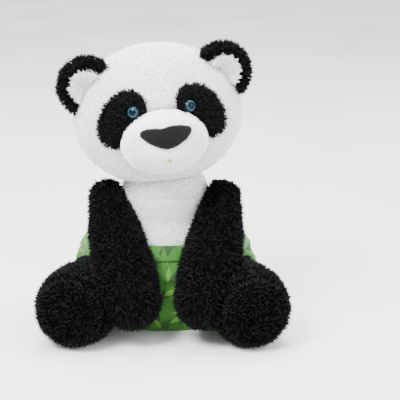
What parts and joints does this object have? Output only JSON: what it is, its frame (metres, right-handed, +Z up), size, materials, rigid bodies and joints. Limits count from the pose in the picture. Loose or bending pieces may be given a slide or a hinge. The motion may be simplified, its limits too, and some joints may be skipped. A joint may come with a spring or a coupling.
{
  "type": "plush panda",
  "caption": "Soft seated panda cub in a printed cloth nappy, with turning neck, lifting arms, swinging legs, flexing ears and peeling rear tabs.",
  "frame": {"origin": "middle of the flat seat, on the surface the cub sits on", "axes": "+Z up, the cub looks along -Y, and its own left is +X"},
  "size_m": [0.2378, 0.1966, 0.2783],
  "materials": {
    "white_plush": "short dense plush",
    "black_plush": "longer soft plush",
    "nose_velour": "flat velour",
    "mouth_thread": "embroidery thread",
    "stuffing": "loose polyester fibre",
    "nappy_cotton": "printed woven cotton, padded",
    "nappy_binding": "printed woven cotton, folded",
    "loop_tape": "brushed loop tape",
    "hook_tape": "cotton faced hook tape",
    "eye_plastic": "polished",
    "washer_plastic": "moulded"
  },
  "bodies": {
    "trunk": {"trunk_stuffing": "stuffing", "belly_panel": "white_plush", "back_panel": "white_plush", "shoulder_yoke": "black_plush", "nappy_shell": "nappy_cotton", "waistband": "nappy_binding", "right_leg_binding": "nappy_binding", "left_leg_binding": "nappy_binding", "loop_patch": "loop_tape"},
    "neck": {"neck_cover": "white_plush", "neck_stuffing": "stuffing"},
    "head": {"head_front_panel": "white_plush", "head_back_panel": "white_plush", "head_stuffing": "stuffing", "muzzle_panel": "white_plush", "nose_patch": "nose_velour", "mouth_stitch": "mouth_thread", "right_eye": "eye_plastic", "left_eye": "eye_plastic", "right_eye_washer": "washer_plastic", "left_eye_washer": "washer_plastic", "right_eye_patch": "black_plush", "left_eye_patch": "black_plush"},
    "right_ear": {"right_ear_back": "black_plush", "right_ear_front": "white_plush"},
    "right_arm": {"right_arm_outer_panel": "black_plush", "right_arm_inner_panel": "black_plush", "right_arm_stuffing": "stuffing"},
    "right_leg": {"right_leg_panel": "black_plush", "right_sole_panel": "black_plush", "right_leg_stuffing": "stuffing"},
    "right_tab": {"right_hook_tab": "hook_tape"},
    "left_ear": {"left_ear_back": "black_plush", "left_ear_front": "white_plush"},
    "left_arm": {"left_arm_outer_panel": "black_plush", "left_arm_inner_panel": "black_plush", "left_arm_stuffing": "stuffing"},
    "left_leg": {"left_leg_panel": "black_plush", "left_sole_panel": "black_plush", "left_leg_stuffing": "stuffing"},
    "left_tab": {"left_hook_tab": "hook_tape"}
  },
  "joints": [
    {"name": "neck_turn", "type": "hinge", "parent": "trunk", "child": "neck", "pos_m": [0, 0, 0.114], "axis": [0, 0, 1], "range_deg": [-25, 25], "stiffness_Nm_per_rad": 0.6},
    {"name": "neck_nod", "type": "hinge", "parent": "neck", "child": "head", "pos_m": [0, 0, 0.114], "axis": [1, 0, 0], "range_deg": [-8, 6], "stiffness_Nm_per_rad": 1.5},
    {"name": "right_ear_flex", "type": "hinge", "parent": "head", "child": "right_ear", "pos_m": [-0.07253, -0.03179, 0.23586], "axis": [0.4295, -0.0288, 0.9026], "range_deg": [-10, 10], "stiffness_Nm_per_rad": 0.05},
    {"name": "right_shoulder_lift", "type": "hinge", "parent": "trunk", "child": "right_arm", "pos_m": [-0.0575, -0.014, 0.126], "axis": [-1, 0, 0], "range_deg": [0, 40]},
    {"name": "right_hip_swing", "type": "hinge", "parent": "trunk", "child": "right_leg", "pos_m": [-0.08236, -0.0119, 0.037], "axis": [0, 0, -1], "range_deg": [0, 15]},
    {"name": "right_tab_peel", "type": "hinge", "parent": "trunk", "child": "right_tab", "pos_m": [-0.05, 0.05621, 0.06], "axis": [0, -0.2091, 0.9779], "range_deg": [0, 100]},
    {"name": "left_ear_flex", "type": "hinge", "parent": "head", "child": "left_ear", "pos_m": [0.0559, -0.01594, 0.24823], "axis": [0.5717, 0.1523, -0.8062], "range_deg": [-10, 10], "stiffness_Nm_per_rad": 0.05},
    {"name": "left_shoulder_lift", "type": "hinge", "parent": "trunk", "child": "left_arm", "pos_m": [0.0575, -0.014, 0.126], "axis": [-1, 0, 0], "range_deg": [0, 40]},
    {"name": "left_hip_swing", "type": "hinge", "parent": "trunk", "child": "left_leg", "pos_m": [0.08236, -0.0119, 0.037], "axis": [0, 0, 1], "range_deg": [0, 15]},
    {"name": "left_tab_peel", "type": "hinge", "parent": "trunk", "child": "left_tab", "pos_m": [0.05, 0.05621, 0.06], "axis": [0, 0.2091, -0.9779], "range_deg": [0, 100]}
  ]
}
